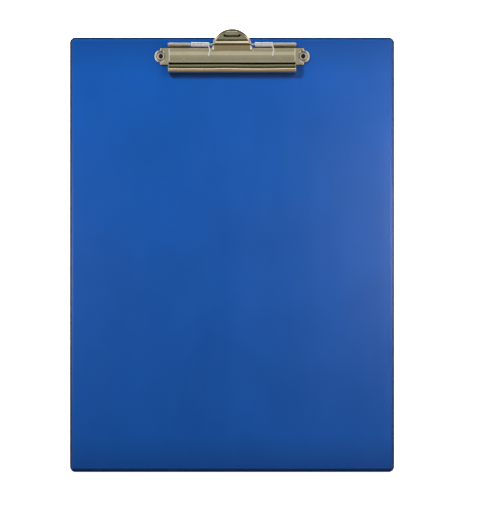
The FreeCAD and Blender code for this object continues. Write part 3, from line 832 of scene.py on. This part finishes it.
def cut_hole(shell, first, xs, ys, hx, hy, radius):
    """Opens a round hole in the grid added last, whose first point has the number first.

    The block of cells over the hole goes. Its points move to the circle, each along its own line
    from the centre.
    """
    points = shell.points[-1].reshape(len(ys), len(xs), 3)
    reach = 1.02 * radius
    columns, rows = (np.flatnonzero(np.abs(lines - at) < reach) for lines, at in ((xs, hx), (ys, hy)))
    inside = set((first + rows[:-1, None] * len(xs) + columns[:-1]).ravel().tolist())
    shell.faces = [face for face in shell.faces if face[0] not in inside]
    block = np.ix_(rows, columns, (0, 1))
    off = points[block] - (hx, hy)
    size = np.linalg.norm(off, axis=-1, keepdims=True)
    points[block] = np.array((hx, hy)) + off * radius / np.where(size > 0, size, radius)


def side_flange(shell, clip, side, flat_x, ys):
    """A side flange: the plate's edge turned down by a quarter bend, then straight."""
    turn = np.linspace(0, math.pi / 2, 7)
    run = clip.flange_depth - clip.flange_round - clip.sheet / 2
    out = clip.flange_round * np.append(np.sin(turn), 1.0)
    drop = np.append(clip.flange_round * (1 - np.cos(turn)), clip.flange_round + run)
    sheet_across(shell, side * (flat_x + out), ys, plate_heights(clip, ys)[:, None] - drop)


def jaw_pressing(material):
    """The jaw as one sheet's middle surface, given its thickness afterwards."""
    clip, tab = settings("clip"), settings("tab")
    shell = Shell()
    jaw_x = JAW_HIGH.x - clip.nose_past
    flat_x = jaw_x - clip.sheet / 2 - clip.flange_round
    knuckle_1 = jaw_x - clip.knuckle_in
    knuckle_0 = knuckle_1 - clip.knuckle_width
    window = tab.radius + tab.slot
    bend_y = BOARD_HIGH.y - clip.nose_bend_in
    start_y = BOARD_HIGH.y - tab.start_in
    back_y = HINGE.y - clip.back_gap
    pip_x, pip_y = jaw_x - clip.pip_in, bend_y + clip.pip_back
    pip_lines = clip.pip * np.linspace(-1, 1, 9)
    tab_radius = tab_surface(shell, clip, tab)
    stops = (0, window, knuckle_0, knuckle_1, flat_x, *tab_radius, *(pip_x + pip_lines))
    xs = even_lines([side * stop for side in (-1, 1) for stop in stops], GRID_STEP)
    ys = even_lines([bend_y, bend_y + clip.notch, *(pip_y + pip_lines), start_y, back_y], GRID_STEP)
    nose_y, nose_z, _ = nose_line(clip)
    sheet_across(shell, np.array([-JAW_HIGH.x, *xs, JAW_HIGH.x]), nose_y, nose_z)
    off = np.hypot(np.abs(xs)[None, :] - pip_x, ys[:, None] - pip_y) / clip.pip
    pips = clip.pip_height * np.maximum(1 - off * off, 0) ** 1.5
    first = shell.count
    heights = plate_heights(clip, ys)[:, None] + pips
    sheet_across(shell, xs, ys, heights, lambda x, y: (np.abs(x) >= window) | (y <= start_y))
    wire = settings("spring").wire / 2
    for hole_x in (-SPRING_LOW.x - wire, SPRING_HIGH.x - wire):
        cut_hole(shell, first, xs, ys, hole_x, HINGE.y - clip.leg_reach, clip.leg_hole)
    knuckle_y, knuckle_z, _ = knuckle_line(clip)
    neck_y = even_lines([back_y, knuckle_y[0]], GRID_STEP)

    def lines_between(side, low, high):
        return xs[(side * xs > low - NEAR) & (side * xs < high + NEAR)]

    for side in (-1, 1):
        knuckle_x = lines_between(side, knuckle_0, knuckle_1)
        sheet_across(shell, knuckle_x, neck_y, np.full(len(neck_y), HINGE.z))
        sheet_across(shell, knuckle_x, knuckle_y, knuckle_z)
        for low, high, turn in ((window, knuckle_0, clip.back_turn), (knuckle_1, flat_x, clip.corner_turn)):
            bend = [("bend", clip.back_round, -turn)]
            edge_y, edge_z, _ = walk((back_y, HINGE.z), 0.0, bend, clip.sheet / 2)
            sheet_across(shell, lines_between(side, low, high), edge_y, edge_z)
        side_flange(shell, clip, side, flat_x, ys[ys > bend_y + clip.notch - NEAR])
    obj = shell.piece("clip_jaw_pressing", material, 20 * NEAR)
    thick = obj.modifiers.new("sheet", "SOLIDIFY")
    thick.thickness = clip.sheet
    thick.offset = 0.0
    thick.use_even_offset = True
    thick.use_quality_normals = True
    bevel = obj.modifiers.new("soft edges", "BEVEL")
    bevel.width = clip.edge
    bevel.segments = 2
    bevel.limit_method = "ANGLE"
    bevel.angle_limit = math.radians(55.0)
    bevel.use_clamp_overlap = False
    bevel.harden_normals = False
    return obj


class CLIPBOARD_OT_jaw(bpy.types.Operator):
    """Make the jaw with its nose, knuckles, flanges, pips and thumb tab"""

    bl_idname = "clipboard.jaw"
    bl_label = "Clip jaw"

    def execute(self, context):
        dressed(jaw_pressing(finish_for("nickel_pressing")), "jaw", "nickel_plate", "clip_jaw")
        return {"FINISHED"}


def smoothed_copy(node, name, material, degrees):
    """A copy of a CAD node's mesh, its loose triangles joined and its bends shaded smooth."""
    mesh = frame["nodes"][node].data.copy()
    mesh.name = name
    tidy_mesh(mesh, 2 * NEAR)
    mesh.materials.clear()
    mesh.materials.append(material)
    obj = bpy.data.objects.new(name, mesh)
    bpy.context.scene.collection.objects.link(obj)
    smooth_by_angle(obj, degrees)
    even = obj.modifiers.new("even shading", "WEIGHTED_NORMAL")
    even.keep_sharp = True
    return obj


def turned(outline, x, y, sides):
    """The surface that a closed outline of (radius, height) makes when turned about a line along Z."""
    r, h = np.array(outline).T[:, :, None]
    a = np.linspace(0, 2 * math.pi, sides, endpoint=False)
    points = np.stack(np.broadcast_arrays(x + r * np.cos(a), y + r * np.sin(a), h), axis=-1)
    return points, grid_faces(*points.shape[:2], wrap_rows=True, wrap_columns=True)


def quarter(r, h, radius, start, count=7):
    """Points of a quarter circle round (r, h), clockwise from start quarter turns."""
    a = (start - np.linspace(0, 1, count)) * math.pi / 2
    return list(zip(r + radius * np.cos(a), h + radius * np.sin(a)))


def eyelet_outline():
    """An eyelet's section: bore, flange rolled over the plate, tube, and flange let into the back."""
    s, clip, film = settings("spring"), settings("clip"), settings("film")
    seat = BOARD_TOP + clip.sheet
    roll_h = seat + s.flange_height - s.roll
    tube_r = s.bore + s.wall
    return [
        (s.bore, 0.0),
        *quarter(s.bore + s.roll, roll_h, s.roll, 2),
        *quarter(s.flange - s.roll, roll_h, s.roll, 1),
        (s.flange, seat), (tube_r, seat), (tube_r, film.thickness), (s.back_flange, film.thickness),
        (s.back_flange, s.back_edge), (s.back_flange - s.back_edge, 0.0),
    ]


class CLIPBOARD_OT_base(bpy.types.Operator):
    """Dress the clip's base, and make the rod and both eyelets"""

    bl_idname = "clipboard.base"
    bl_label = "Clip base, rod and eyelets"

    def execute(self, context):
        base = smoothed_copy("clip_base", "clip_base_pressing", finish_for("nickel_pressing"), 50.0)
        dressed(base, "board", "nickel_plate", "clip_base")
        rod = smoothed_copy("hinge_rod", "hinge_rod_steel", finish_for("bright_rod"), 40.0)
        dressed(rod, "board", "steel_rod", "hinge_rod")
        for name, x in (("left", -EYELET_X), ("right", EYELET_X)):
            shell = Shell()
            shell.add(*turned(eyelet_outline(), x, CLIP_Y, EYELET_POINTS))
            eyelet = shell.piece("eyelet_" + name + "_nickel", finish_for("nickel_eyelet"), NEAR)
            smooth_by_angle(eyelet, 35.0)
            dressed(eyelet, "board", "eyelet_metal", "eyelet_" + name)
        return {"FINISHED"}


def tangent_angle(y, z, hand, coil):
    """The angle round the coil at which a straight line to the point (y, z) leaves it."""
    dy, dz = y - HINGE.y, z - HINGE.z
    return math.atan2(dz, dy) + hand * math.acos(coil / math.hypot(dy, dz))


def spring_line(x0, x1):
    """The wire's middle line: lower leg, a coil that climbs at its pitch, hooked upper leg.

    The coil starts and ends square to the rod: its climb grows evenly over the first half turn,
    is even between, and falls off evenly over the last. The upper leg bows as a sine squared.
    """
    s, clip = settings("spring"), settings("clip")
    base_y = CLIP_Y + s.tray_half + s.base_gap + s.wire / 2
    base_z = BOARD_TOP + s.base_rise
    plate_z = HINGE.z + clip.sheet / 2 + s.seat + s.wire / 2
    leg_y = HINGE.y - clip.leg_reach + s.hook
    first = tangent_angle(base_y, base_z, 1, s.coil)
    last = tangent_angle(leg_y, plate_z, -1, s.coil)
    turns = round((x1 - x0) / s.pitch - (last - first) / (2 * math.pi))
    last += 2 * math.pi * turns
    a = np.linspace(first, last, TURN_POINTS * (turns + 1))
    share = np.linspace(0, 1, len(a))
    half_turn = math.pi / (last - first)
    climb = np.cumsum(np.minimum(np.minimum(share, 1 - share) / half_turn, 1.0))
    climb = (climb - climb[0]) / (climb[-1] - climb[0])
    coil = np.stack([
        x0 + (x1 - x0) * climb, HINGE.y + s.coil * np.cos(a), HINGE.z + s.coil * np.sin(a)
    ], axis=-1)
    lower = np.linspace((x0, base_y, base_z), coil[0], 12)[:-1]
    leg_z = coil[-1, 2]
    upper = np.linspace(coil[-1], (x1, leg_y, leg_z), 25)
    upper[:, 0] += s.leg_bow * np.sin(np.linspace(0, math.pi, 25)) ** 2
    turn = np.linspace(0, math.pi / 2, 12)[1:]
    hook = np.stack([
        0 * turn + x1, leg_y - s.hook * np.sin(turn), leg_z - s.hook * (1 - np.cos(turn))
    ], axis=-1)
    tip = np.linspace(hook[-1], hook[-1] - (0, 0, s.tip), 4)
    return np.concatenate([lower, coil, upper[1:], hook, tip[1:]])


def tube(path, radius, sides):
    """A round tube along a path: a circle carried on a frame that never twists, with domed ends.

    Each frame is the one before, with the part along the new direction taken out. A dome's rings
    shrink by a sine and stand out by a cosine, so that it is a little flatter than a half ball.
    """
    along = np.gradient(path, axis=0)
    along /= np.linalg.norm(along, axis=1)[:, None]
    side = np.zeros_like(path)
    side[0] = np.cross(along[0], (1.0, 0.0, 0.0))
    side[0] /= np.linalg.norm(side[0])
    for i in range(1, len(path)):
        flat = side[i - 1] - along[i] * side[i - 1].dot(along[i])
        side[i] = flat / np.linalg.norm(flat)
    up = np.cross(along, side)
    dome = np.linspace(0, math.pi / 2, DOME_RINGS, endpoint=False)
    least_turn, dome_share = 0.05, 0.6
    grow, out = np.sin(dome + least_turn), dome_share * np.cos(dome)
    body = np.arange(1, len(path) - 1)
    size = radius * np.concatenate([grow, np.ones(len(body)), grow[::-1]])
    shift = radius * np.concatenate([-out, np.zeros(len(body)), out[::-1]])
    at = np.concatenate([[0] * DOME_RINGS, body, [len(path) - 1] * DOME_RINGS])
    a = np.linspace(0, 2 * math.pi, sides, endpoint=False)[:, None]
    circle = np.cos(a) * side[at, None] + np.sin(a) * up[at, None]
    return (path[at] + along[at] * shift[:, None])[:, None] + circle * size[:, None, None]


class CLIPBOARD_OT_springs(bpy.types.Operator):
    """Wind both torsion springs"""

    bl_idname = "clipboard.springs"
    bl_label = "Springs"

    def execute(self, context):
        s = settings("spring")
        wire = s.wire / 2
        x_low, x_high = SPRING_LOW.x + wire, SPRING_HIGH.x - wire
        for name, x0, x1 in (("left", -x_high, -x_low), ("right", x_low, x_high)):
            points = tube(spring_line(x0, x1), wire, s.sides)
            rows, columns = points.shape[:2]
            shell = Shell()
            shell.add(points, grid_faces(rows, columns, wrap_columns=True))
            shell.polygon(range(columns - 1, -1, -1))
            shell.polygon(range((rows - 1) * columns, rows * columns))
            spring = shell.piece("spring_" + name + "_wire", finish_for("spring_wire"))
            smooth_by_angle(spring, 50.0)
            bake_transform(spring)
            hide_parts("spring_" + name)
        return {"FINISHED"}


# The sky: bands of colour by their angle from straight up towards +Y, in degrees. Side walls take
# their place as a direction's X grows, and are dim where its Z is at a stop of 0. Matt surfaces
# get only a share of it.
SKY_ON_MATT = 0.06
WALL_BRIGHT = (1.42, 1.46, 1.68)
WALL_DIM = (0.46, 0.47, 0.50)
WALL_STOPS = ((0.0, 1.0), (0.19, 1.0), (0.23, 0.0), (0.285, 0.0), (0.32, 1.0))
SIDE_STOPS = ((0.42, 0.0), (0.55, 1.0), (0.86, 1.0), (0.96, 0.3))
SKY_BANDS = (
    (-90, (0.12, 0.13, 0.11)), (-70, (0.14, 0.14, 0.11)), (-64, (0.31, 0.26, 0.18)),
    (-55, (0.31, 0.25, 0.14)), (-50, (0.40, 0.35, 0.26)), (-47, (0.46, 0.41, 0.33)),
    (-44.6, (0.40, 0.34, 0.24)), (-41.0, (0.24, 0.19, 0.11)), (-40.2, (1.5, 1.4, 1.36)),
    (-38.4, (1.5, 1.4, 1.36)), (-37.6, (0.06, 0.05, 0.018)), (-32.5, (0.08, 0.075, 0.035)),
    (-30.5, (0.13, 0.14, 0.10)), (-28.8, (0.34, 0.38, 0.33)), (-26.6, (0.36, 0.40, 0.35)),
    (-25.6, (0.20, 0.22, 0.17)), (-24.6, (0.008, 0.008, 0.001)), (-12.5, (0.004, 0.004, 0.0)),
    (-11.2, (0.56, 0.58, 0.52)), (-8, (0.44, 0.45, 0.41)), (-6, (0.385, 0.39, 0.35)),
    (-3, (0.46, 0.47, 0.42)), (4.0, (0.47, 0.475, 0.425)), (5.2, (0.68, 0.70, 0.66)),
    (10, (0.73, 0.75, 0.74)), (14, (0.72, 0.74, 0.84)), (36, (0.90, 0.92, 1.0)),
    (44, (0.16, 0.16, 0.16)), (90, (0.06, 0.06, 0.06)),
)

# Lamps as name, place, target, width and height, watts: two for matt surfaces, and four that only
# the films' gloss shows
MATT_LAMPS = (
    ("key", (-0.58, 0.85, 0.68), (0, 0, 0), (0.15, 0.15), 25.5),
    ("fill", (0.42, 0.5, 0.45), (0, 0, 0), (0.5, 0.5), 6.4),
)
FILM_LAMPS = (
    ("haze", (0.29, 0.03, 0.27), (0.1, 0.03, 0), (0.1, 0.3), 2.6),
    ("haze_left", (-0.29, 0.0, 0.27), (-0.1, 0.0, 0), (0.1, 0.3), 0.5),
    ("strip_left", (-0.5, 0.0, 0.12), (-0.115, 0, 0), (0.08, 0.3), 0.9),
    ("strip_right", (0.5, 0.0, 0.12), (0.115, 0, 0), (0.08, 0.3), 0.7),
)


def colour_ramp(tree, value, stops):
    """A ramp from one stop's colour to the next, at the value's place between 0 and 1."""
    node = add_node(tree, "ShaderNodeValToRGB")
    tree.links.new(value, node.inputs["Fac"])
    elements = node.color_ramp.elements
    for place, _ in stops[1:-1]:
        elements.new(place)
    for element, (place, tint) in zip(elements, stops):
        element.position = place
        element.color = (*tint, 1.0)
    return node.outputs["Color"]


def share_ramp(tree, value, stops):
    """A ramp of shares from 0 to 1, as greys."""
    return colour_ramp(tree, value, [(place, (share,) * 3) for place, share in stops])


def world_light():
    """A studio sky: soft bands across Y, read by the direction's angle about the X axis.

    Towards either side the bands give way to a side wall, with a dim strip above its foot.
    """
    world = bpy.data.worlds.new("studio")
    bpy.context.scene.world = world
    world.use_nodes = True
    tree = world.node_tree
    background = tree.nodes["Background"]
    x, y, z = coordinates(tree, "Generated")
    turn = maths(tree, "ARCTAN2", y, z)
    share = ranged(tree, turn, -math.pi / 2, math.pi / 2, 0.0, 1.0)
    bands = colour_ramp(tree, share, [((degrees + 90) / 180, tint) for degrees, tint in SKY_BANDS])
    wall = mixed(tree, share_ramp(tree, z, WALL_STOPS), WALL_DIM, WALL_BRIGHT)
    beside = share_ramp(tree, maths(tree, "ABSOLUTE", x), SIDE_STOPS)
    tree.links.new(mixed(tree, beside, bands, wall), background.inputs["Color"])
    path = add_node(tree, "ShaderNodeLightPath")
    strength = ranged(tree, path.outputs["Is Diffuse Ray"], 0.0, 1.0, 1.0, SKY_ON_MATT)
    tree.links.new(strength, background.inputs["Strength"])


def area_light(name, place, target, size, power, diffuse, glossy):
    lamp = bpy.data.lights.new(name, "AREA")
    lamp.shape = "RECTANGLE"
    lamp.size, lamp.size_y = size
    lamp.energy = power
    obj = bpy.data.objects.new(name, lamp)
    obj.location = place
    obj.rotation_euler = (Vector(target) - Vector(place)).to_track_quat("-Z", "Y").to_euler()
    obj.visible_camera = False
    obj.visible_diffuse = diffuse
    obj.visible_glossy = glossy
    bpy.context.scene.collection.objects.link(obj)
    return obj


def photo_camera(stage):
    """A camera straight above, where the board's edges fall on their pixels in the photo."""
    scale = 2 * BOARD_HIGH.x / (BOARD_RIGHT_PX - BOARD_LEFT_PX)
    centre_x = (BOARD_LEFT_PX + BOARD_RIGHT_PX) / 2
    centre_y = (BOARD_TOP_PX + BOARD_LOW_PX) / 2
    camera = bpy.data.cameras.new("camera")
    camera.sensor_fit = "VERTICAL"
    camera.sensor_height = stage.sensor
    camera.lens = stage.sensor * stage.camera_height / (PHOTO_SIZE[1] * scale)
    camera.clip_end = 4 * stage.camera_height
    eye = bpy.data.objects.new("camera", camera)
    eye.location = (
        (PHOTO_SIZE[0] / 2 - centre_x) * scale,
        (centre_y - PHOTO_SIZE[1] / 2) * scale,
        BOARD_TOP + stage.camera_height,
    )
    bpy.context.scene.collection.objects.link(eye)
    bpy.context.scene.camera = eye


def beyond_board(tree, stage):
    """1 on the open floor and 0 well under the board, by the floor's own coordinates: the mask of the shade
    painted under the board.
    """
    past = [
        ranged(tree, maths(tree, "ABSOLUTE", place), half - stage.cover_in, half - stage.cover_out, 0.0, 1.0)
        for place, half in zip(coordinates(tree), (BOARD_HIGH.x, BOARD_HIGH.y))
    ]
    return maths(tree, "MAXIMUM", *past)


def pale_floor(stage):
    """The floor: pale and matt, white where the camera sees it, and painted dark under the board as shade, so
    the eyelets' holes look into shade.
    """
    half = stage.floor_size / 2
    mesh = bpy.data.meshes.new("floor")
    corners = [(-half, -half), (half, -half), (half, half), (-half, half)]
    mesh.from_pydata([(x, y, -stage.floor_drop) for x, y in corners], [], [(0, 1, 2, 3)])
    floor = bpy.data.objects.new("floor", mesh)
    bpy.context.scene.collection.objects.link(floor)
    material, tree, shader = node_tree("pale_floor")
    shader.inputs["Roughness"].default_value = 0.9
    shader.inputs["Specular IOR Level"].default_value = 0.0
    # Painted shade under the board, with the floor's white glow only on the open floor.
    open_floor = beyond_board(tree, stage)
    tint = mixed(tree, open_floor, stage.shaded_floor_under_board, stage.floor_colour)
    tree.links.new(tint, shader.inputs["Base Color"])
    path = add_node(tree, "ShaderNodeLightPath")
    white = ranged(tree, open_floor, 0.0, 1.0, 0.0, stage.floor_glow)
    glow = maths(tree, "MULTIPLY", path.outputs["Is Camera Ray"], white)
    shader.inputs["Emission Color"].default_value = (1, 1, 1, 1)
    tree.links.new(glow, shader.inputs["Emission Strength"])
    mesh.materials.append(material)


class CLIPBOARD_OT_stage(bpy.types.Operator):
    """Set the camera straight above, the pale floor and the soft light"""

    bl_idname = "clipboard.stage"
    bl_label = "Stage"

    def execute(self, context):
        stage = settings("stage")
        context.scene.view_settings.view_transform = "Standard"
        photo_camera(stage)
        pale_floor(stage)
        world_light()
        for lamp in MATT_LAMPS:
            area_light(*lamp, diffuse=True, glossy=False)
        films = bpy.data.collections.new("films")
        for name in ("front_film_skin", "back_film_skin"):
            films.objects.link(bpy.data.objects[name])
        for lamp in FILM_LAMPS:
            area_light(*lamp, diffuse=False, glossy=True).light_linking.receiver_collection = films
        return {"FINISHED"}


class CLIPBOARD_PT_panel(bpy.types.Panel):
    """Buttons for every piece and the stage"""

    bl_idname = "CLIPBOARD_PT_panel"
    bl_label = "Clipboard"
    bl_space_type = "VIEW_3D"
    bl_region_type = "UI"
    bl_category = "Clipboard"

    def draw(self, context):
        for operator in OPERATORS:
            self.layout.operator(operator.bl_idname)
        for name in GROUPS:
            group = settings(name)
            box = self.layout.box()
            box.label(text=name.title())
            for key in group.bl_rna.properties.keys():
                if key not in ("rna_type", "name"):
                    box.prop(group, key)


GROUPS = {
    "film": FilmSettings,
    "clip": ClipSettings,
    "tab": TabSettings,
    "spring": SpringSettings,
    "stage": StageSettings,
}
OPERATORS = (
    CLIPBOARD_OT_films,
    CLIPBOARD_OT_base,
    CLIPBOARD_OT_jaw,
    CLIPBOARD_OT_springs,
    CLIPBOARD_OT_stage,
)


def register():
    for kind in (*GROUPS.values(), *OPERATORS, CLIPBOARD_PT_panel):
        bpy.utils.register_class(kind)
    for name, group in GROUPS.items():
        setattr(bpy.types.Scene, "clipboard_" + name, PointerProperty(type=group))


def unregister():
    for name in GROUPS:
        delattr(bpy.types.Scene, "clipboard_" + name)
    for kind in (CLIPBOARD_PT_panel, *OPERATORS, *GROUPS.values()):
        bpy.utils.unregister_class(kind)


def main():
    register()
    bpy.ops.clipboard.films()
    bpy.ops.clipboard.base()
    bpy.ops.clipboard.jaw()
    bpy.ops.clipboard.springs()
    bpy.ops.clipboard.stage()


if __name__ == "__main__":
    main()
